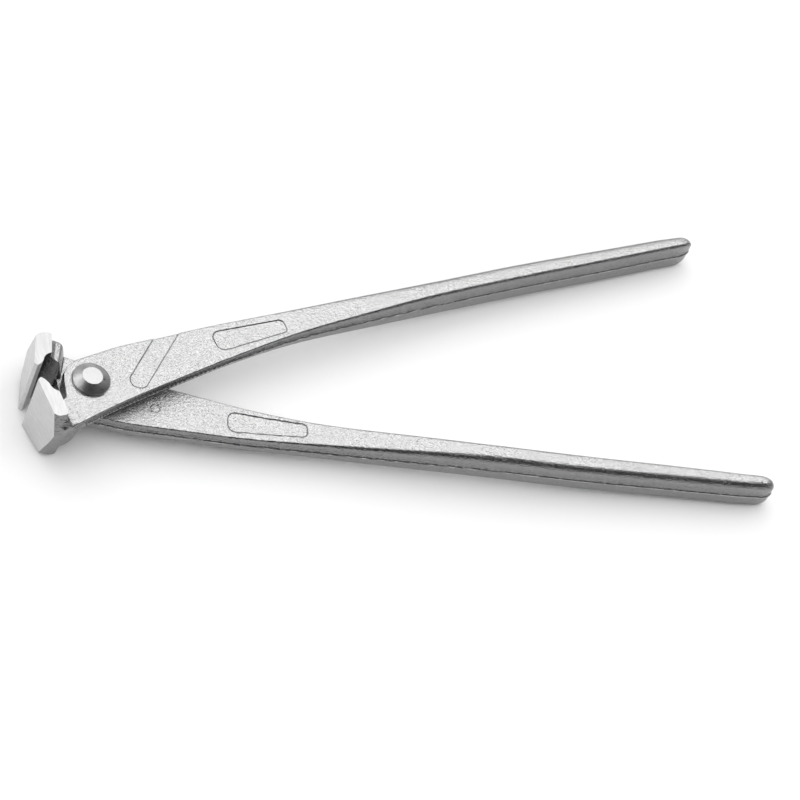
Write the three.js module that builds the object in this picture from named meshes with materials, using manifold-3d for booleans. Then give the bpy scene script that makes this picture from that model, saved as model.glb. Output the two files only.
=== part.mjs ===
// Rebar tying pliers: two identical forged levers on one rivet, drawn in millimetres, +Z up.
// The pivot axis is Z, the handles point along +X, and the origin is the rivet's flat tail face.
import * as THREE from 'three';
import { mergeVertices } from 'three/addons/utils/BufferGeometryUtils.js';
import Module from 'manifold-3d';

const wasm = await Module();
wasm.setup();

const { lerp, smoothstep, degToRad } = THREE.MathUtils;

// Whole tool
const handle_reach = 231; // pivot axis to the end of the handle
const jaw_reach = 19.4; // pivot axis to the ground front of the jaw, at the cutting edge
const opening_angle = degToRad(12.7); // each lever is turned this far off the centre line
const overrun = 4; // how far a cutter runs past what it cuts

// Joint plate
const plate_width = 20.4;
const plate_thickness = 6.2;
const plate_edge_radius = 0.5;
const joint_clearance = 0.3; // between the two plates
const plate_draft = 0.9; // the inner edge is this much narrower on the joint face
const nose_radius = 8.7; // round end of the plate
const nose_clearance = 0.7; // between the nose and the other lever's neck
const nose_side = 2; // height of the nose arc's end above the lever's axis
const nose_turn = degToRad(101); // direction of the other end of the nose arc

// Handle
const plate_end = 44; // where the lower face starts to drop
const grip_start = 146; // where the grip has its full height
const grip_half_height = 6;
const tip_half_height = 6.1;
const grip_outer_radius = 2.75;
const grip_inner_radius = 1.4;
const tip_length = 5.2; // rounded end of the handle
const tip_drop = 3.6; // the faces come down by this much at the end
const ridge_height = 0.35; // flash ridge along the parting line
const tip_ridge_height = 0.12;
const ridge_half_width = 0.45;

// Edges of the flat top face: place along handle_reach, then outer and inner edge as plate_width
const handle_edge_shares = [
  [-0.071, 0.385, -0.748],
  [-0.035, 0.39, -0.655],
  [0.017, 0.425, -0.525],
  [0.065, 0.465, -0.425],
  [0.13, 0.453, -0.309],
  [0.216, 0.438, -0.167],
  [0.324, 0.376, -0.02],
  [0.431, 0.317, 0.051],
  [0.57, 0.236, 0.102],
  [0.712, 0.178, 0.064],
  [0.863, 0.074, -0.012],
  [1, -0.02, -0.064],
];

// Jaw
const jaw_height = 25; // length of the cutting edge
const jaw_front_slope = 0.03; // the ground front leans back towards the outer wall
const jaw_end_slope = 0.12; // the ends of the jaw draw in towards the outer wall
const jaw_parting_depth = 15.2; // lever's axis to the outer wall at the parting line
const jaw_upper_depth = 11.8; // the same at the upper end
const jaw_lower_depth = 12.5; // the same at the lower end
const jaw_parting_corner = 1.2; // radius of the front outer corner at the parting line
const jaw_upper_corner = 2.9;
const jaw_lower_corner = 4.2;
const jaw_back_corner = 1;
const ground_angle = degToRad(20); // how deep the ground front cuts into the round corner
const jaw_upper_thickness = 5.1;
const jaw_lower_thickness = 5.6;

// Cutting edge and hollow behind it
const edge_height = 1.8; // cutting edge above the lever's axis
const edge_setback = 1.1; // cutting edge behind the ground front
const edge_chamfer = 0.7;
const bevel_size = 1;
const hollow_wall = 3; // ground front to the hollow
const hollow_nose_gap = 0.3; // hollow to the nose, along the lever's axis
const hollow_drop = 0.9; // hollow's axis below the lever's axis
const hollow_end = degToRad(-47); // where the hollow runs out into the wall up to the nose

// Neck between the jaw and the plate
const neck_height = 7.8; // below the joint plane
const neck_back_depth = 13; // lever's axis to the outer wall, at the neck's back
const neck_shoulder = 1.1; // or this much less than the depth of the jaw
const neck_corner = 1.4;
const neck_inner_corner = 0.7;
const neck_inner_side = 3.5; // inner end of the neck below the lever's axis
const neck_lean = 1; // how far the outer end of the back wall comes towards the handle
const neck_fillet = 2; // concave fillet at the foot of the jaw
const neck_fillet_spread = 0.31; // its side widens from the jaw's side to the plate's edge

// Back wall of the neck: height as neck_height, then setback from its foot as neck_length
const neck_back_shares = [
  [1.25, 1.02],
  [1.13, 0.92],
  [1.04, 0.76],
  [1, 0.565],
  [0.975, 0.43],
  [0.91, 0.325],
  [0.8, 0.255],
  [0.5, 0.15],
  [0.25, 0.06],
  [0.02, 0],
];

// Rivet
const shank_radius = 4;
const shank_clearance = 0.08;
const head_radius = 6.25;
const head_flat_radius = 3.4;
const head_height = 2.6;
const head_edge_radius = 0.5;
const head_clearance = 0.05;
const tail_radius = 6;
const tail_flat_radius = 4.6;
const tail_height = 1.8;

// Bare recessed panels on the lever's faces
const panel_depth = 0.35;
const band_width = 6.2;
const band_end = 15.4; // pivot axis to the centre of the band's round end, along the handle
const band_end_drop = 4.1; // the same centre below the lever's axis
const band_angle = degToRad(40.5);
const size_panel_start = 46.1;
const size_panel_length = 26.2;
const size_panel_start_width = 8;
const size_panel_end_width = 5.2;
const size_panel_height = 3.2; // centre line above the lever's axis
const size_panel_start_corner = 2.8;
const size_panel_end_corner = 1.8;
const mark_radius = 1.75; // plain ring mark
const mark_line = 0.45;
const mark_along = 22.2;
const mark_height = 2.1;

// Smoothness
const handle_steps = 48;
const corner_steps = 5;
const tip_steps = 6;
const arc_steps = 18;
const round_steps = 64;

// Sizes that follow from those above
const plate_bottom = joint_clearance / 2;
const plate_top = plate_bottom + plate_thickness;
const plate_middle = (plate_bottom + plate_top) / 2;
const joint_height = tail_height + head_clearance + plate_top;
const neck_foot = Math.sqrt((nose_radius + nose_clearance) ** 2 - neck_inner_side ** 2);
const neck_length = jaw_reach - jaw_lower_thickness - neck_foot;
const front_edge_height = edge_height - edge_chamfer;
const hollow_radius = (jaw_reach - hollow_wall - nose_radius - hollow_nose_gap) / 2;

// A closed solid through outlines of equal count that turn counter-clockwise, with flat ends
function loft(sections) {
  const count = sections[0].outline.length;
  const corners = sections.flatMap(({ level, outline }) => outline.map(({ x, y }) => [x, y, level]));
  const triangles = [];
  for (let ring = 0; ring < sections.length - 1; ring += 1) {
    for (let k = 0; k < count; k += 1) {
      const here = ring * count + k;
      const next = ring * count + (k + 1) % count;
      triangles.push(here, next, next + count, here, next + count, here + count);
    }
  }
  const last = (sections.length - 1) * count;
  for (const [a, b, c] of THREE.ShapeUtils.triangulateShape(sections[0].outline, [])) {
    triangles.push(c, b, a);
  }
  for (const [a, b, c] of THREE.ShapeUtils.triangulateShape(sections.at(-1).outline, [])) {
    triangles.push(last + a, last + b, last + c);
  }
  const geometry = new THREE.BufferGeometry();
  geometry.setAttribute('position', new THREE.Float32BufferAttribute(corners.flat(), 3));
  geometry.setIndex(triangles);
  return geometry;
}

function solid(geometry) {
  geometry.deleteAttribute('normal');
  geometry.deleteAttribute('uv');
  const merged = mergeVertices(geometry);
  return new wasm.Manifold(new wasm.Mesh({
    numProp: 3,
    vertProperties: new Float32Array(merged.attributes.position.array),
    triVerts: new Uint32Array(merged.index.array),
  }));
}

function mesh(name, manifold, material) {
  const { vertProperties, triVerts } = manifold.getMesh();
  const geometry = new THREE.BufferGeometry();
  geometry.setAttribute('position', new THREE.BufferAttribute(vertProperties, 3));
  geometry.setIndex(new THREE.BufferAttribute(triVerts, 1));
  geometry.computeVertexNormals();
  const piece = new THREE.Mesh(geometry, material);
  piece.name = name;
  return piece;
}

// Points of a circular arc, both ends included
function arc(centre_x, centre_y, radius, from, to, steps) {
  return Array.from({ length: steps + 1 }, (_, k) => {
    const angle = lerp(from, to, k / steps);
    return new THREE.Vector2(centre_x + radius * Math.cos(angle), centre_y + radius * Math.sin(angle));
  });
}

function prism(shape, bottom, top) {
  const geometry = new THREE.ExtrudeGeometry(shape, {
    depth: top - bottom,
    bevelEnabled: false,
    curveSegments: arc_steps,
  });
  return solid(geometry.translate(0, 0, bottom));
}

// Handle and joint plate

// Rounded section across the handle; outer and inner are the edges of its flat top
function handle_outline({ outer, inner, draft, top, bottom, outer_radius, inner_radius, ridge }) {
  const middle = (top + bottom) / 2;
  const quarter = Math.PI / 2;
  const wall = inner + draft / 2;
  const ridge_point = (side, bulge, rise) => new THREE.Vector2(side + bulge, middle + rise);
  return [
    ridge_point(outer, outer_radius + ridge, 0),
    ridge_point(outer, outer_radius, ridge_half_width),
    ...arc(outer, top - outer_radius, outer_radius, 0, quarter, corner_steps),
    ...arc(inner, top - inner_radius, inner_radius, quarter, 2 * quarter, corner_steps),
    ridge_point(wall, -inner_radius, ridge_half_width),
    ridge_point(wall, -inner_radius - ridge, 0),
    ridge_point(wall, -inner_radius, -ridge_half_width),
    ...arc(inner + draft, bottom + inner_radius, inner_radius, 2 * quarter, 3 * quarter,
      corner_steps),
    ...arc(outer, bottom + outer_radius, outer_radius, 3 * quarter, 4 * quarter, corner_steps),
    ridge_point(outer, outer_radius, -ridge_half_width),
  ];
}

// Squeeze is 1 along the handle and falls to 0 at the tip; skin is the depth under the faces
function handle_section(along, outer, inner, squeeze, skin) {
  const grip = smoothstep(along, plate_end, grip_start);
  const taper = Math.max(0, (along - grip_start) / (handle_reach - grip_start));
  const half_height = lerp(grip_half_height, tip_half_height, taper);
  const round_off = tip_drop * (1 - squeeze) + skin;
  const middle = (outer + inner) / 2;
  return {
    level: along,
    outline: handle_outline({
      outer: lerp(middle, outer, squeeze),
      inner: lerp(middle, inner, squeeze),
      draft: lerp(plate_draft, 0, grip) * squeeze,
      top: lerp(plate_top, half_height, grip) - round_off,
      bottom: lerp(plate_bottom, -half_height, grip) + round_off,
      outer_radius: lerp(plate_edge_radius, grip_outer_radius, grip) * squeeze,
      inner_radius: lerp(plate_edge_radius, grip_inner_radius, grip) * squeeze,
      ridge: lerp(ridge_height, tip_ridge_height, grip) * squeeze,
    }),
  };
}

function handle_and_plate(skin) {
  const edge_points = (column) => handle_edge_shares.map((row) =>
    new THREE.Vector2(row[0] * handle_reach, row[column] * plate_width));
  const outer_edge = new THREE.SplineCurve(edge_points(1));
  const inner_edge = new THREE.SplineCurve(edge_points(2));
  const sections = [];
  for (let step = 0; step <= handle_steps; step += 1) {
    const outer = outer_edge.getPoint(step / handle_steps);
    const inner = inner_edge.getPoint(step / handle_steps);
    if (outer.x < handle_reach - tip_length) {
      sections.push(handle_section(outer.x, outer.y, inner.y, 1, skin));
    }
  }
  const outer = outer_edge.getPoint(1);
  const inner = inner_edge.getPoint(1);
  for (let step = 0; step < tip_steps; step += 1) {
    const turn = (Math.PI / 2) * (step / tip_steps);
    const along = handle_reach - tip_length * (1 - Math.sin(turn));
    sections.push(handle_section(along, outer.y, inner.y, Math.cos(turn), skin));
  }
  const geometry = loft(sections);
  const lengthwise = new THREE.Matrix4().makeBasis(
    new THREE.Vector3(0, 1, 0),
    new THREE.Vector3(0, 0, 1),
    new THREE.Vector3(1, 0, 0),
  );
  return solid(geometry.applyMatrix4(lengthwise));
}

// Jaw and neck

// A size at a height of the jaw, from its values at the parting line and at both ends
function by_height(height, parting, upper, lower) {
  const above = height > plate_middle;
  const end = above ? jaw_height / 2 : -jaw_height / 2;
  return lerp(parting, above ? upper : lower, (height - plate_middle) / (end - plate_middle));
}

function jaw_outer_depth(height) {
  return by_height(height, jaw_parting_depth, jaw_upper_depth, jaw_lower_depth);
}

function jaw_front(side) {
  return jaw_front_slope * (front_edge_height - side) - jaw_reach;
}

function jaw_section(height) {
  const depth = jaw_outer_depth(height);
  const corner = by_height(height, jaw_parting_corner, jaw_upper_corner, jaw_lower_corner);
  const thickness = lerp(jaw_lower_thickness, jaw_upper_thickness, height / jaw_height + 1 / 2);
  const back = thickness - jaw_reach;
  const facet_end = corner * (1 - Math.sin(ground_angle)) - depth;
  const corner_x = Math.min(
    jaw_front(facet_end) + corner * Math.cos(ground_angle),
    back - jaw_back_corner,
  );
  const front_turn = 3 * Math.PI / 2;
  return {
    level: height,
    outline: [
      new THREE.Vector2(corner_x - corner, edge_height + overrun),
      ...arc(corner_x, corner - depth, corner, Math.PI, front_turn, corner_steps),
      ...arc(back - jaw_back_corner, jaw_back_corner - depth, jaw_back_corner, front_turn,
        2 * Math.PI, corner_steps),
      new THREE.Vector2(back, edge_height + overrun),
    ],
  };
}

// The part of a solid ahead of a plane, which faces along the direction
function trimmed(body, direction, point) {
  const normal = direction.normalize();
  return body.trimByPlane(normal.toArray(), normal.dot(point));
}

function jaw() {
  const heights = [-jaw_height / 2, plate_middle, jaw_height / 2];
  const forged = solid(loft(heights.map(jaw_section)));
  const ended = [-1, 1].reduce((body, end) => trimmed(
    body,
    new THREE.Vector3(0, jaw_end_slope, -end),
    new THREE.Vector3(0, edge_height, end * jaw_height / 2),
  ), forged);
  return trimmed(
    ended,
    new THREE.Vector3(1, jaw_front_slope, 0),
    new THREE.Vector3(-jaw_reach, front_edge_height, 0),
  );
}

function neck_section(height, foot) {
  const depth = jaw_outer_depth(height);
  const back_depth = Math.min(neck_back_depth, depth - neck_shoulder);
  const front = jaw_upper_thickness / 2 - jaw_reach;
  const width = -foot - front;
  const corner = Math.min(neck_corner, width / 2);
  const inner_corner = Math.min(neck_inner_corner, width / 2);
  const outer_back = neck_lean * width / (-neck_foot - front) - foot;
  const quarter = Math.PI / 2;
  return {
    level: height,
    outline: [
      new THREE.Vector2(front, -neck_inner_side),
      new THREE.Vector2(front, -depth),
      ...arc(outer_back - corner, corner - back_depth, corner, 3 * quarter, 4 * quarter,
        corner_steps),
      ...arc(-foot - inner_corner, -neck_inner_side - inner_corner, inner_corner, 0, quarter,
        corner_steps),
    ],
  };
}

// The neck reaches past the joint plane and is highest where it meets the jaw
function neck() {
  const lower = neck_back_shares.map(([height_share, setback_share]) =>
    neck_section(-height_share * neck_height, neck_foot + setback_share * neck_length));
  return solid(loft([...lower, neck_section(plate_top - plate_edge_radius, neck_foot)]));
}

// Concave fillet between the upper face of the plate and the back of the jaw, flush with its side
function upper_fillet() {
  const back = jaw_upper_thickness - jaw_reach;
  const front = back - jaw_upper_thickness / 2;
  const quarter = Math.PI / 2;
  const profile = [
    new THREE.Vector2(front, plate_middle),
    new THREE.Vector2(back + neck_fillet, plate_middle),
    ...arc(back + neck_fillet, plate_top + neck_fillet, neck_fillet, 3 * quarter, 2 * quarter,
      corner_steps),
    new THREE.Vector2(front, plate_top + neck_fillet),
  ];
  const block = prism(new THREE.Shape(profile), 0, jaw_parting_depth + overrun).rotate([90, 0, 0]);
  const lean = (jaw_parting_depth - jaw_upper_depth) / (jaw_height / 2 - plate_middle);
  const spread = trimmed(
    block,
    new THREE.Vector3(neck_fillet_spread, 1, -lean),
    new THREE.Vector3(front, -jaw_outer_depth(plate_top), plate_top),
  );
  return trimmed(
    spread,
    new THREE.Vector3(0, 1, 0),
    new THREE.Vector3(front, -jaw_parting_depth, plate_middle),
  );
}

// The free space that the forging curves around: past the nose, in the hollow and over the edge
function free_space() {
  const hollow_x = hollow_wall + hollow_radius - jaw_reach;
  const nose_end = Math.PI - Math.asin(nose_side / nose_radius);
  const edge_x = edge_setback - jaw_reach;
  const slope = -1 / Math.tan(nose_turn);
  const side = nose_radius / Math.sin(nose_turn) + slope * overrun;
  const outline = [
    new THREE.Vector2(overrun, jaw_reach),
    new THREE.Vector2(overrun, side),
    ...arc(0, 0, nose_radius, nose_turn, nose_end, arc_steps),
    ...arc(hollow_x, -hollow_drop, hollow_radius, hollow_end, -Math.PI, arc_steps),
    new THREE.Vector2(edge_x + bevel_size, edge_height - bevel_size),
    new THREE.Vector2(edge_x, edge_height),
    new THREE.Vector2(-jaw_reach, front_edge_height),
    new THREE.Vector2(-jaw_reach - overrun, front_edge_height),
    new THREE.Vector2(-jaw_reach - overrun, jaw_reach),
  ];
  return prism(new THREE.Shape(outline), -jaw_height, jaw_height);
}

// Recessed panels

// Panel with round corners along X from its start, as wide there as start_width
function tapered_panel(length, start_width, end_width, start_corner, end_corner) {
  const quarter = Math.PI / 2;
  const lean = Math.atan((start_width - end_width) / 2 / length);
  const side = (along, corner) =>
    lerp(start_width, end_width, along / length) / 2 - corner / Math.cos(lean);
  const start = start_corner;
  const end = length - end_corner;
  const start_side = side(start, start_corner);
  const end_side = side(end, end_corner);
  const shape = new THREE.Shape();
  shape.absarc(end, end_side, end_corner, 0, quarter - lean);
  shape.absarc(start, start_side, start_corner, quarter - lean, 2 * quarter);
  shape.absarc(start, -start_side, start_corner, 2 * quarter, 3 * quarter + lean);
  shape.absarc(end, -end_side, end_corner, 3 * quarter + lean, 4 * quarter);
  return shape;
}

// Slanted band across the upper face of the plate, open at the outer edge
function band() {
  const end_radius = band_width / 2;
  const shape = tapered_panel(2 * plate_width, band_width, band_width, end_radius, end_radius);
  return prism(shape, plate_middle, plate_top + overrun)
    .translate([-band_width / 2, 0, 0])
    .rotate([0, 0, THREE.MathUtils.radToDeg(band_angle)])
    .translate([band_end, -band_end_drop, 0]);
}

// Long panel through both faces of the handle, next to the plate
function size_panels() {
  const shape = tapered_panel(
    size_panel_length,
    size_panel_start_width,
    size_panel_end_width,
    size_panel_start_corner,
    size_panel_end_corner,
  );
  return prism(shape, -grip_half_height - overrun, grip_half_height + overrun)
    .translate([size_panel_start, size_panel_height, 0]);
}

// Plain ring mark on the joint face
function ring_recess() {
  const shape = new THREE.Shape().absarc(0, 0, mark_radius, 0, 2 * Math.PI);
  shape.holes.push(new THREE.Path().absarc(0, 0, mark_radius - mark_line, 0, 2 * Math.PI));
  return prism(shape, -overrun, plate_bottom + panel_depth).translate([mark_along, mark_height, 0]);
}

function round_bar(radius, bottom, top) {
  const geometry = new THREE.CylinderGeometry(radius, radius, top - bottom, round_steps);
  return solid(geometry.rotateX(Math.PI / 2).translate(0, 0, (top + bottom) / 2));
}

// One forging, with its joint face on the plane z = 0 and its plate above it
function lever_solid() {
  const panel_floor = handle_and_plate(panel_depth);
  return handle_and_plate(0)
    .subtract(band().add(size_panels()).subtract(panel_floor))
    .add(neck())
    .add(upper_fillet())
    .add(jaw())
    .subtract(free_space())
    .subtract(round_bar(shank_radius + shank_clearance, -overrun, plate_top + overrun))
    .subtract(ring_recess());
}

// Rivet

function rivet_geometry() {
  const head_base = joint_height + plate_top + head_clearance;
  const head_top = head_base + head_height;
  const half_turn = Math.PI / 2;
  const profile = [
    new THREE.Vector2(0, 0),
    new THREE.Vector2(tail_flat_radius, 0),
    new THREE.Vector2(tail_radius, tail_height - head_edge_radius),
    new THREE.Vector2(tail_radius, tail_height),
    new THREE.Vector2(shank_radius, tail_height),
    new THREE.Vector2(shank_radius, head_base),
    ...arc(head_radius - head_edge_radius, head_base + head_edge_radius, head_edge_radius,
      -half_turn, half_turn / 2, corner_steps),
    ...arc(head_flat_radius - head_edge_radius, head_top - head_edge_radius, head_edge_radius,
      half_turn / 2, half_turn, corner_steps),
    new THREE.Vector2(0, head_top),
  ];
  return new THREE.LatheGeometry(profile, round_steps).rotateX(half_turn);
}

// Materials

function forged_zinc() {
  return new THREE.MeshStandardMaterial({ color: 0xc9cbcc, roughness: 0.42, metalness: 0.9 });
}

function bright_zinc() {
  return new THREE.MeshStandardMaterial({ color: 0xd6d7d8, roughness: 0.25, metalness: 0.95 });
}

// Assembly

function placed_lever(name, turned_over) {
  const lever = mesh(name, lever_solid(), forged_zinc());
  const place = new THREE.Group();
  lever.rotation.x = turned_over ? Math.PI : 0;
  place.add(lever);
  place.rotation.z = turned_over ? -opening_angle : opening_angle;
  place.position.z = joint_height;
  return place;
}

function joint_rivet() {
  return mesh('joint_rivet', solid(rivet_geometry()), bright_zinc());
}

const pliers = new THREE.Group();
pliers.add(placed_lever('top_lever', false));
pliers.add(placed_lever('bottom_lever', true));
pliers.add(joint_rivet());

export default pliers;
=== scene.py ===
from collections import namedtuple
import math

import bmesh
import bpy
from mathutils import Matrix, Vector


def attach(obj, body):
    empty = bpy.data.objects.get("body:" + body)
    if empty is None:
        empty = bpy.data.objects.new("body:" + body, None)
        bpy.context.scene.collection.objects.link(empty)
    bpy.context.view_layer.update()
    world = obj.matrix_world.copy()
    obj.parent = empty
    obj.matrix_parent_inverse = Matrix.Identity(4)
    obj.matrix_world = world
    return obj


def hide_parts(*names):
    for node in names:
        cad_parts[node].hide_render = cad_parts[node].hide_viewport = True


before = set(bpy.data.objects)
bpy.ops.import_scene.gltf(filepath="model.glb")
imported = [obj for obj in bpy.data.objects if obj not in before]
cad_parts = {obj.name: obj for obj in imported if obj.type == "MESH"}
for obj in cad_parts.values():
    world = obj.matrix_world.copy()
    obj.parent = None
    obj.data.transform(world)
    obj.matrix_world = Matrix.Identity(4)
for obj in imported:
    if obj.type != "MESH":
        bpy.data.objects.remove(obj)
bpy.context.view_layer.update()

MM = 0.001
Y, Z = Vector((0, 1, 0)), Vector((0, 0, 1))
QUARTER_TURN = math.pi / 2
SAME_PLACE = 0.001 * MM     # corners nearer than this are one corner
ON_PLANE = 0.0001 * MM      # corners nearer than this are on the cutting plane

# Joint: the levers lie back to back at this height, each opened by the same angle from X
JOINT_HEIGHT = 8.2 * MM
OPENING = math.radians(12.7)

# Plate and handle, in each lever's own frame: X along the handle, Z away from the joint plane
PLATE_BOTTOM = 0.15 * MM
PLATE_TOP = 6.35 * MM
PLATE_END = 44 * MM         # where the parting line starts to drop to the middle of the grip
GRIP_START = 146 * MM

# Jaw, in the same frame: its ground front faces -X and its cutting edge points to +Y; the slopes
# are what a ground face leans for each unit of height or depth
JAW_HEIGHT = 25 * MM
JAW_REACH = 19.4 * MM
FRONT_EDGE_HEIGHT = 1.1 * MM
EDGE_HEIGHT = 1.8 * MM
EDGE_SETBACK = 1.1 * MM
BEVEL = 1 * MM
HOLLOW_WALL = 3 * MM
HOLLOW_DROP = 0.9 * MM
FRONT_SLOPE = 0.03
END_SLOPE = 0.12
OVERRUN = 4 * MM

# Grinding: how much is ground off, and how near a corner is to the plane to be moved out by it
GRINDING_ALLOWANCE = 0.5 * MM
GROUND_REACH = 0.2 * MM
EDGE_REACH = 0.9 * MM

# Forged skin: its grain is the size of the steps that the smoothing then rounds off
FORGED_GRAIN = 0.25 * MM
FORGED_ROUNDS = 3
SMOOTHING = 0.5
MOST_TRIANGLES = 190000
FORGED_CREASE = math.radians(38)

# Foot of the jaw's side, where it runs into the plate
FOOT = Vector((-15, -14.5, 5)) * MM
FOOT_REACH = 4.2 * MM
FOOT_ROUNDS = 30

# Flash left along the parting line: it rises where the skin's normal has less of Z than the turn
FLASH_HALF_THICKNESS = 0.3 * MM
FLASH_WIDTH = 0.3 * MM
FLASH_TURN = 0.5
FLASH_CREST_SHARE = 0.6
FLASH_START = -7 * MM

# Rivet
TAIL_RADIUS = 6 * MM
TAIL_FLAT_RADIUS = 4.6 * MM
TAIL_HEIGHT = 1.8 * MM
TAIL_RIM = 0.2 * MM
SHANK_RADIUS = 4 * MM
HEAD_BASE = 14.6 * MM
HEAD_HEIGHT = 2.6 * MM
HEAD_RADIUS = 6.25 * MM
HEAD_UNDERCUT = 0.2 * MM
HEAD_FLAT_RADIUS = 3.4 * MM
HEAD_EDGE = 0.5 * MM
RIVET_STEPS = 96
ARC_STEPS = 6
RIVET_CREASE = math.radians(50)

# Greys, dark and light: forged faces and sides, slope and top of the rivet head, ground faces, and
# the crest of the flash; the darker greys of the sides and slope are painted shade, and the bright
# dashes on the crest are a painted highlight
FLAT_GREYS = (0.6, 0.66)
SIDE_SHADE_GREYS = (0.24, 0.31)
SLOPE_SHADE_GREYS = (0.36, 0.43)
TOP_GREYS = (0.52, 0.57)
GROUND_GREYS = (0.6, 0.7)
CREST_HIGHLIGHT_GREYS = (0.3, 0.95)
SIDE_TURN = 0.85            # a face is a side up to this share of Z in its normal
FLAT_TURN = 0.97            # and flat from this share on
FLOOR_GREY = 0.93

# Roughness, smooth and rough
FORGED_ROUGHNESS = (0.16, 0.24)
RIVET_ROUGHNESS = (0.26, 0.34)
GROUND_ROUGHNESS = 0.45
CREST_ROUGHNESS = 0.35
GROUND_METAL_SHARE = 0.35   # a ground face is duller than the zinc skin

# Grain: spots to the metre, and the depth of each relief
NOISE_RANGE = (0.3, 0.7)    # nearly all values of a noise lie in it
FORGED_MOTTLE = 1500
FORGED_PEBBLES = 1300
PEBBLE_DEPTH = 0.25 * MM
FORGED_GRIT = 2600
GRIT_DEPTH = 0.1 * MM
GROUND_LINES = 1300
LINE_STRETCH = (1, 0.08, 1)
LINE_DEPTH = 0.08 * MM
FLASH_DASHES = 420
RIVET_MOTTLE = 500
RIVET_GRIT = 1500
RIVET_GRIT_DEPTH = 0.08 * MM

# Floor, from under the jaws to under the ends of the handles
FLOOR_AT_JAWS = Vector((-18, 0, -4.4)) * MM
FLOOR_AT_HANDLES = Vector((222, 0, 2)) * MM
FLOOR_SIZE = 4

# Lamps, around a place between the levers: metres, degrees and radiance
Lamp = namedtuple("Lamp", "azimuth elevation distance width height radiance")
LIT_PLACE = Vector((0.08, 0, 0))
CARDS = {
    "back_box": Lamp(50, 64, 1.9, 2.6, 1.25, 1.75),
    "low_back_card": Lamp(46, 38, 2.2, 3.4, 0.7, 1.1),
    "horizon_card": Lamp(42, 1, 2.4, 3.6, 0.5, 0.8),
    "corner_card": Lamp(118, 24, 1.9, 1.4, 1.6, 0.95),
    "left_card": Lamp(168, 28, 1.6, 2, 1.3, 1.9),
}
FLOOR_WASH = Lamp(60, 80, 1.7, 5, 5, 1.5)
WORLD_STRENGTH = 0.1

# Camera: its direction from the joint, its distance and focal length, and the joint's place in the
# picture in pixels
CAMERA_AZIMUTH, CAMERA_ELEVATION, CAMERA_ROLL = -0.608694, 0.878523, 0.453694
CAMERA_DISTANCE = 1.293594
FOCAL_PIXELS = 4087.769
JOINT_PIXEL_X, JOINT_PIXEL_Y = 86.47, 391.807
PICTURE_HALF = 400
SENSOR_WIDTH = 36
FARTHEST = 20

# Places of two finishes on a lever, after the forged skin
GROUND, CREST = 1, 2


def lever_place(turned_over):
    """Carries a lever from its own frame to its place; the bottom lever is the same one turned over."""
    turn = Matrix.Rotation(-OPENING if turned_over else OPENING, 4, "Z")
    flip = Matrix.Rotation(math.pi if turned_over else 0, 4, "X")
    return Matrix.Translation((0, 0, JOINT_HEIGHT)) @ turn @ flip


# Shapes

def new_piece(name, shape):
    mesh_data = bpy.data.meshes.new(name)
    shape.to_mesh(mesh_data)
    shape.free()
    piece = bpy.data.objects.new(name, mesh_data)
    bpy.context.scene.collection.objects.link(piece)
    return piece


def shape_of(piece):
    shape = bmesh.new()
    shape.from_mesh(piece.data)
    return shape


def finish_modifiers(piece):
    """Makes the piece's modifiers part of its mesh."""
    bpy.context.view_layer.update()
    ready = piece.evaluated_get(bpy.context.evaluated_depsgraph_get())
    mesh_data = bpy.data.meshes.new_from_object(ready)
    piece.modifiers.clear()
    old = piece.data
    piece.data = mesh_data
    bpy.data.meshes.remove(old)


def cut_away(piece, tool):
    """Takes the tool's space out of the piece, and removes the tool."""
    change = piece.modifiers.new("tool", "BOOLEAN")
    change.operation = "DIFFERENCE"
    change.solver = "MANIFOLD"
    change.object = tool
    finish_modifiers(piece)
    bpy.data.objects.remove(tool)


def cad_copy(node):
    """The node's shape, with its loose triangles joined."""
    shape = bmesh.new()
    shape.from_mesh(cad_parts[node].data)
    bmesh.ops.remove_doubles(shape, verts=shape.verts, dist=SAME_PLACE)
    return shape


def ground_planes():
    """A point and the outward direction of the ground front and of both ground ends."""
    return [
        (Vector((-JAW_REACH, FRONT_EDGE_HEIGHT, 0)), Vector((-1, -FRONT_SLOPE, 0)).normalized()),
        (Vector((0, EDGE_HEIGHT, JAW_HEIGHT / 2)), Vector((0, -END_SLOPE, 1)).normalized()),
        (Vector((0, EDGE_HEIGHT, -JAW_HEIGHT / 2)), Vector((0, -END_SLOPE, -1)).normalized()),
    ]


def leave_allowance(shape):
    """Moves the faces that are ground later out by the grinding allowance."""
    edge = {
        vert for vert in shape.verts
        if vert.co.y > FRONT_EDGE_HEIGHT - BEVEL and vert.co.x < HOLLOW_WALL - JAW_REACH
    }
    for point, outward in ground_planes():
        for vert in shape.verts:
            height = (vert.co - point).dot(outward)
            if abs(height) < (EDGE_REACH if vert in edge else GROUND_REACH):
                vert.co += outward * (GRINDING_ALLOWANCE - height)
    bmesh.ops.translate(shape, vec=Y * GRINDING_ALLOWANCE, verts=list(edge))


def forge(piece):
    """Gives the piece the soft edges of a forging, its dressed foot and its flash."""
    grain = piece.modifiers.new("grain", "REMESH")
    grain.mode = "VOXEL"
    grain.voxel_size = FORGED_GRAIN
    grain.adaptivity = 0
    rounds = piece.modifiers.new("rounds", "SMOOTH")
    rounds.factor = SMOOTHING
    rounds.iterations = FORGED_ROUNDS
    finish_modifiers(piece)
    blend_foot(piece)
    raise_flash(piece)
    triangles = 2 * len(piece.data.polygons)
    if triangles > MOST_TRIANGLES:
        thin = piece.modifiers.new("thin", "DECIMATE")
        thin.ratio = MOST_TRIANGLES / triangles
        finish_modifiers(piece)


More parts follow.
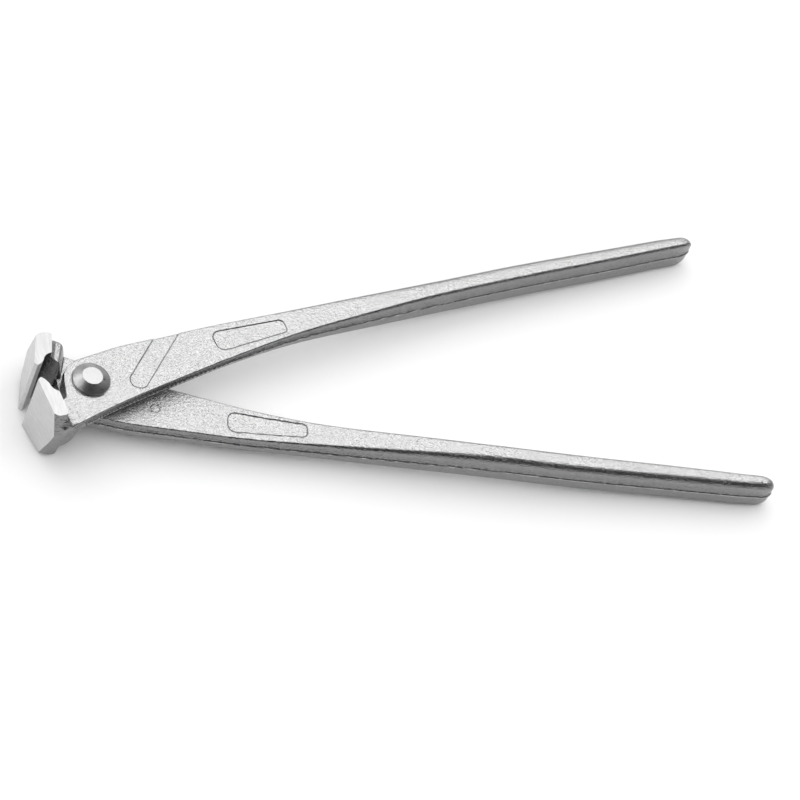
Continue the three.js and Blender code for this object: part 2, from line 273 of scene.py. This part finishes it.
def edge_tool():
    """The space that grinding clears over the cutting edge, as a prism along the jaw."""
    edge = EDGE_SETBACK - JAW_REACH
    wall = HOLLOW_WALL - JAW_REACH
    outline = [
        (wall, -HOLLOW_DROP),
        (edge + BEVEL, EDGE_HEIGHT - BEVEL),
        (edge, EDGE_HEIGHT),
        (-JAW_REACH, FRONT_EDGE_HEIGHT),
        (-JAW_REACH - OVERRUN, FRONT_EDGE_HEIGHT),
        (-JAW_REACH - OVERRUN, EDGE_HEIGHT + OVERRUN),
        (wall, EDGE_HEIGHT + OVERRUN),
    ]
    shape = bmesh.new()
    base = shape.faces.new([shape.verts.new((x, y, -JAW_HEIGHT)) for x, y in outline])
    raised = bmesh.ops.extrude_face_region(shape, geom=[base])
    moved = [item for item in raised["geom"] if isinstance(item, bmesh.types.BMVert)]
    bmesh.ops.translate(shape, vec=Z * (2 * JAW_HEIGHT), verts=moved)
    bmesh.ops.recalc_face_normals(shape, faces=shape.faces)
    for face in shape.faces:
        face.material_index = GROUND
    return new_piece("edge_tool", shape)


def grind(piece):
    """Grinds the cutting edge, the front and both ends of the jaw."""
    cut_away(piece, edge_tool())
    shape = shape_of(piece)
    for point, outward in ground_planes():
        geometry = shape.verts[:] + shape.edges[:] + shape.faces[:]
        cut = bmesh.ops.bisect_plane(
            shape, geom=geometry, dist=ON_PLANE, plane_co=point, plane_no=outward,
            clear_outer=True,
        )
        rim = [item for item in cut["geom_cut"] if isinstance(item, bmesh.types.BMEdge)]
        closed = bmesh.ops.holes_fill(shape, edges=rim, sides=0)
        for face in closed["faces"]:
            face.material_index = GROUND
    shape.to_mesh(piece.data)
    shape.free()


def parting_height(along):
    """Height of the parting line: the middle of the plate, then the middle of the grip."""
    share = min(max((along - PLATE_END) / (GRIP_START - PLATE_END), 0), 1)
    return (PLATE_BOTTOM + PLATE_TOP) / 2 * (1 - share * share * (3 - 2 * share))


def flash_share(place):
    """How far a place is from the parting line: 0 on it, 1 at the edge of the flash."""
    return abs(place.z - parting_height(place.x)) / FLASH_HALF_THICKNESS


def blend_foot(piece):
    """Dresses the fillet smooth where the jaw's side runs into the plate."""
    shape = shape_of(piece)
    foot = [vert for vert in shape.verts if (vert.co - FOOT).length < FOOT_REACH]
    for _ in range(FOOT_ROUNDS):
        bmesh.ops.smooth_vert(
            shape, verts=foot, factor=SMOOTHING, use_axis_x=True, use_axis_y=True, use_axis_z=True,
        )
    shape.to_mesh(piece.data)
    shape.free()


def raise_flash(piece):
    """Raises a low ridge on the sides, where the two dies met."""
    shape = shape_of(piece)
    shape.normal_update()
    for vert in shape.verts:
        away = flash_share(vert.co)
        if away < 1 and vert.co.x > FLASH_START and abs(vert.normal.z) < FLASH_TURN:
            out = Vector((vert.normal.x, vert.normal.y, 0)).normalized()
            vert.co += out * FLASH_WIDTH * (1 - away * away)
    shape.to_mesh(piece.data)
    shape.free()


def highlight_flash_crest(shape):
    """Gives the crest of the flash its own finish, a painted highlight in dashes."""
    for face in shape.faces:
        middle = face.calc_center_median()
        steep = abs(face.normal.z) < SIDE_TURN
        if steep and middle.x > FLASH_START and flash_share(middle) < FLASH_CREST_SHARE:
            face.material_index = CREST


def lever(node, body, turned_over, finishes):
    """One forged lever, made over its CAD shape in its own frame."""
    place = lever_place(turned_over)
    shape = cad_copy(node)
    bmesh.ops.transform(shape, matrix=place.inverted(), verts=shape.verts)
    leave_allowance(shape)
    piece = new_piece(node + "_forging", shape)
    for finish in finishes:
        piece.data.materials.append(finish)
    forge(piece)
    grind(piece)
    shape = shape_of(piece)
    for face in shape.faces:
        face.smooth = True
    highlight_flash_crest(shape)
    bmesh.ops.transform(shape, matrix=place, verts=shape.verts)
    shape.to_mesh(piece.data)
    shape.free()
    piece.data.set_sharp_from_angle(angle=FORGED_CREASE)
    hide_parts(node)
    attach(piece, body)


def arc(center, radii, first, last):
    """Points of an arc about a center, each a radius and a height."""
    turns = [first + (last - first) * step / ARC_STEPS for step in range(ARC_STEPS + 1)]
    return [
        (center[0] + radii[0] * math.cos(turn), center[1] + radii[1] * math.sin(turn))
        for turn in turns
    ]


def rivet_profile():
    """Half of the rivet's section, from the middle of the tail to the middle of the head."""
    slope = math.atan2(HEAD_HEIGHT - HEAD_EDGE, HEAD_RADIUS - HEAD_FLAT_RADIUS)
    turned = QUARTER_TURN - slope
    top = HEAD_BASE + HEAD_HEIGHT
    tail_side = TAIL_HEIGHT - TAIL_RIM
    edge = (HEAD_EDGE, HEAD_EDGE)
    return [
        (0, 0),
        *arc((TAIL_FLAT_RADIUS, tail_side), (TAIL_RADIUS - TAIL_FLAT_RADIUS, tail_side), -QUARTER_TURN, 0),
        (TAIL_RADIUS, TAIL_HEIGHT),
        (SHANK_RADIUS, TAIL_HEIGHT),
        (SHANK_RADIUS, HEAD_BASE),
        (HEAD_RADIUS - HEAD_UNDERCUT, HEAD_BASE),
        *arc((HEAD_RADIUS - HEAD_EDGE, HEAD_BASE + HEAD_EDGE), edge, 0, turned),
        *arc((HEAD_FLAT_RADIUS - HEAD_EDGE / 2, top - HEAD_EDGE), edge, turned, QUARTER_TURN),
        (0, top),
    ]


def rivet(finish):
    """The joint's rivet, turned about its axis."""
    shape = bmesh.new()
    points = [shape.verts.new((radius, 0, height)) for radius, height in rivet_profile()]
    line = [shape.edges.new(pair) for pair in zip(points, points[1:])]
    bmesh.ops.spin(
        shape, geom=points + line, axis=Z, cent=(0, 0, 0), angle=2 * math.pi, steps=RIVET_STEPS,
        use_merge=True,
    )
    bmesh.ops.remove_doubles(shape, verts=shape.verts, dist=SAME_PLACE)
    bmesh.ops.recalc_face_normals(shape, faces=shape.faces)
    for face in shape.faces:
        face.smooth = True
    piece = new_piece("domed_rivet", shape)
    piece.data.set_sharp_from_angle(angle=RIVET_CREASE)
    piece.data.materials.append(finish)
    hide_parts("joint_rivet")
    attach(piece, "lower_half")


# Finishes

def new_finish(name):
    """A material, its nodes and its surface node."""
    finish = bpy.data.materials.new(name)
    finish.use_nodes = True
    tree = finish.node_tree
    return finish, tree, next(node for node in tree.nodes if node.type == "BSDF_PRINCIPLED")


def noise(tree, scale, detail=3, stretch=(1, 1, 1)):
    """Spots on the piece's own coordinates, drawn out along an axis where stretched."""
    place = tree.nodes.new("ShaderNodeTexCoord")
    along = tree.nodes.new("ShaderNodeMapping")
    along.inputs["Scale"].default_value = stretch
    spots = tree.nodes.new("ShaderNodeTexNoise")
    spots.inputs["Scale"].default_value = scale
    spots.inputs["Detail"].default_value = detail
    tree.links.new(place.outputs["Object"], along.inputs["Vector"])
    tree.links.new(along.outputs["Vector"], spots.inputs["Vector"])
    return spots.outputs["Fac"]


def span(tree, value, low, high):
    """Spreads a noise from a low to a high value."""
    reach = tree.nodes.new("ShaderNodeMapRange")
    reach.inputs["From Min"].default_value = NOISE_RANGE[0]
    reach.inputs["From Max"].default_value = NOISE_RANGE[1]
    reach.inputs["To Min"].default_value = low
    reach.inputs["To Max"].default_value = high
    tree.links.new(value, reach.inputs["Value"])
    return reach.outputs["Result"]


def relief(tree, value, depth, below=None):
    """Raises the surface with the value, over another relief where there is one."""
    bump = tree.nodes.new("ShaderNodeBump")
    bump.inputs["Strength"].default_value = 1
    bump.inputs["Distance"].default_value = depth
    tree.links.new(value, bump.inputs["Height"])
    if below:
        tree.links.new(below, bump.inputs["Normal"])
    return bump.outputs["Normal"]


def grey(tree, value, dark, light):
    """A grey between dark and light."""
    shade = tree.nodes.new("ShaderNodeMix")
    shade.data_type = "RGBA"
    shade.inputs["A"].default_value = (dark, dark, dark, 1)
    shade.inputs["B"].default_value = (light, light, light, 1)
    tree.links.new(value, shade.inputs["Factor"])
    return shade.outputs["Result"]


def flatness(tree):
    """1 on the flat upper and lower faces, 0 on the sides, where the painted shade goes."""
    place = tree.nodes.new("ShaderNodeTexCoord")
    split = tree.nodes.new("ShaderNodeSeparateXYZ")
    tree.links.new(place.outputs["Normal"], split.inputs["Vector"])
    size = tree.nodes.new("ShaderNodeMath")
    size.operation = "ABSOLUTE"
    tree.links.new(split.outputs["Z"], size.inputs[0])
    reach = tree.nodes.new("ShaderNodeMapRange")
    reach.interpolation_type = "SMOOTHSTEP"
    reach.inputs["From Min"].default_value = SIDE_TURN
    reach.inputs["From Max"].default_value = FLAT_TURN
    tree.links.new(size.outputs[0], reach.inputs["Value"])
    return reach.outputs["Result"]


def greys_with_shade(tree, value, sides, flats):
    """A mottled grey for the sides, darker as painted shade, and one for the flat faces."""
    both = tree.nodes.new("ShaderNodeMix")
    both.data_type = "RGBA"
    tree.links.new(flatness(tree), both.inputs["Factor"])
    tree.links.new(grey(tree, value, *sides), both.inputs["A"])
    tree.links.new(grey(tree, value, *flats), both.inputs["B"])
    return both.outputs["Result"]


def forged_zinc():
    """Zinc on the forged skin: pebbled, with the sides darkened as painted shade."""
    finish, tree, surface = new_finish("forged_zinc_skin")
    surface.inputs["Metallic"].default_value = 1
    mottle = noise(tree, FORGED_MOTTLE, detail=4)
    # the sides' darker grey is painted shade
    shade = greys_with_shade(tree, span(tree, mottle, 0, 1), SIDE_SHADE_GREYS, FLAT_GREYS)
    tree.links.new(shade, surface.inputs["Base Color"])
    tree.links.new(span(tree, mottle, *FORGED_ROUGHNESS), surface.inputs["Roughness"])
    grit = relief(tree, noise(tree, FORGED_GRIT), GRIT_DEPTH)
    pebbles = relief(tree, noise(tree, FORGED_PEBBLES), PEBBLE_DEPTH, below=grit)
    tree.links.new(pebbles, surface.inputs["Normal"])
    return finish


def ground_zinc():
    """Zinc on the ground faces: pale and dull, with fine grinding lines."""
    finish, tree, surface = new_finish("ground_zinc_face")
    surface.inputs["Metallic"].default_value = GROUND_METAL_SHARE
    surface.inputs["Roughness"].default_value = GROUND_ROUGHNESS
    lines = noise(tree, GROUND_LINES, stretch=LINE_STRETCH)
    shade = grey(tree, span(tree, lines, 0, 1), *GROUND_GREYS)
    tree.links.new(shade, surface.inputs["Base Color"])
    tree.links.new(relief(tree, lines, LINE_DEPTH), surface.inputs["Normal"])
    return finish


def crest_highlight_zinc():
    """Zinc along the crest of the flash, brightened in broken dashes as a painted highlight."""
    finish, tree, surface = new_finish("crest_highlight_line")
    surface.inputs["Metallic"].default_value = 1
    surface.inputs["Roughness"].default_value = CREST_ROUGHNESS
    dashes = noise(tree, FLASH_DASHES, detail=4)
    # bright dashes: a painted highlight on the crest
    shade = grey(tree, span(tree, dashes, 0, 1), *CREST_HIGHLIGHT_GREYS)
    tree.links.new(shade, surface.inputs["Base Color"])
    return finish


def bright_zinc():
    """Zinc on the rivet: its grain is shallower, and the slope around its top is darker as painted shade.
    """
    finish, tree, surface = new_finish("bright_zinc_skin")
    surface.inputs["Metallic"].default_value = 1
    mottle = noise(tree, RIVET_MOTTLE)
    # the slope's darker grey is painted shade
    shade = greys_with_shade(tree, span(tree, mottle, 0, 1), SLOPE_SHADE_GREYS, TOP_GREYS)
    tree.links.new(shade, surface.inputs["Base Color"])
    tree.links.new(span(tree, mottle, *RIVET_ROUGHNESS), surface.inputs["Roughness"])
    tree.links.new(relief(tree, noise(tree, RIVET_GRIT), RIVET_GRIT_DEPTH), surface.inputs["Normal"])
    return finish


# Floor, light and camera

def floor():
    """A plain floor under the jaws and the ends of the handles, so it rises a little along X."""
    rise = FLOOR_AT_HANDLES - FLOOR_AT_JAWS
    slope = Matrix.Rotation(-math.atan2(rise.z, rise.x), 4, "Y")
    shape = bmesh.new()
    bmesh.ops.create_grid(shape, x_segments=1, y_segments=1, size=FLOOR_SIZE)
    bmesh.ops.transform(shape, matrix=Matrix.Translation(FLOOR_AT_JAWS) @ slope, verts=shape.verts)
    piece = new_piece("floor", shape)
    finish, _, surface = new_finish("pale_floor")
    surface.inputs["Roughness"].default_value = 1
    surface.inputs["Specular IOR Level"].default_value = 0
    surface.inputs["Base Color"].default_value = (FLOOR_GREY, FLOOR_GREY, FLOOR_GREY, 1)
    piece.data.materials.append(finish)


def direction(azimuth, elevation):
    """The direction of an azimuth from X and an elevation, in degrees."""
    azimuth, elevation = math.radians(azimuth), math.radians(elevation)
    return Vector((
        math.cos(azimuth) * math.cos(elevation),
        math.sin(azimuth) * math.cos(elevation),
        math.sin(elevation),
    ))


def soft_light(name, lamp):
    """A rectangular lamp that faces the lit place."""
    light = bpy.data.lights.new(name, "AREA")
    light.shape = "RECTANGLE"
    light.size = lamp.width
    light.size_y = lamp.height
    light.energy = lamp.radiance * math.pi * lamp.width * lamp.height
    piece = bpy.data.objects.new(name, light)
    bpy.context.scene.collection.objects.link(piece)
    piece.visible_camera = False
    piece.location = LIT_PLACE + lamp.distance * direction(lamp.azimuth, lamp.elevation)
    piece.rotation_euler = (LIT_PLACE - piece.location).to_track_quat("-Z", "Y").to_euler()
    return piece


def lights():
    """Cards that only the metal shows, a wash that lights the floor, and a faint even light."""
    world = bpy.data.worlds.new("studio")
    world.use_nodes = True
    back = world.node_tree.nodes["Background"]
    back.inputs["Color"].default_value = (1, 1, 1, 1)
    back.inputs["Strength"].default_value = WORLD_STRENGTH
    bpy.context.scene.world = world
    for name, lamp in CARDS.items():
        soft_light(name, lamp).visible_diffuse = False
    soft_light("floor_wash", FLOOR_WASH).visible_glossy = False


def camera():
    """The camera, with the joint at its pixel in the picture."""
    back = Vector((
        math.sin(CAMERA_AZIMUTH) * math.cos(CAMERA_ELEVATION),
        -math.cos(CAMERA_AZIMUTH) * math.cos(CAMERA_ELEVATION),
        math.sin(CAMERA_ELEVATION),
    ))
    level = Z.cross(back).normalized()
    rise = back.cross(level)
    right = math.cos(CAMERA_ROLL) * level + math.sin(CAMERA_ROLL) * rise
    up = math.cos(CAMERA_ROLL) * rise - math.sin(CAMERA_ROLL) * level
    aside = (JOINT_PIXEL_X - PICTURE_HALF) / FOCAL_PIXELS
    down = (JOINT_PIXEL_Y - PICTURE_HALF) / FOCAL_PIXELS
    ray = right * aside - up * down - back
    place = Vector((0, 0, JOINT_HEIGHT)) - ray * CAMERA_DISTANCE
    lens = bpy.data.cameras.new("camera")
    lens.sensor_fit = "HORIZONTAL"
    lens.sensor_width = SENSOR_WIDTH
    lens.lens = FOCAL_PIXELS * SENSOR_WIDTH / (2 * PICTURE_HALF)
    lens.clip_end = FARTHEST
    piece = bpy.data.objects.new("camera", lens)
    bpy.context.scene.collection.objects.link(piece)
    axes = Matrix((right, up, back)).transposed().to_4x4()
    piece.matrix_world = Matrix.Translation(place) @ axes
    bpy.context.scene.camera = piece


def main():
    finishes = [forged_zinc(), ground_zinc(), crest_highlight_zinc()]
    lever("top_lever", "upper_half", False, finishes)
    lever("bottom_lever", "lower_half", True, finishes)
    rivet(bright_zinc())
    floor()
    lights()
    camera()
    bpy.context.scene.view_settings.view_transform = "Standard"


main()
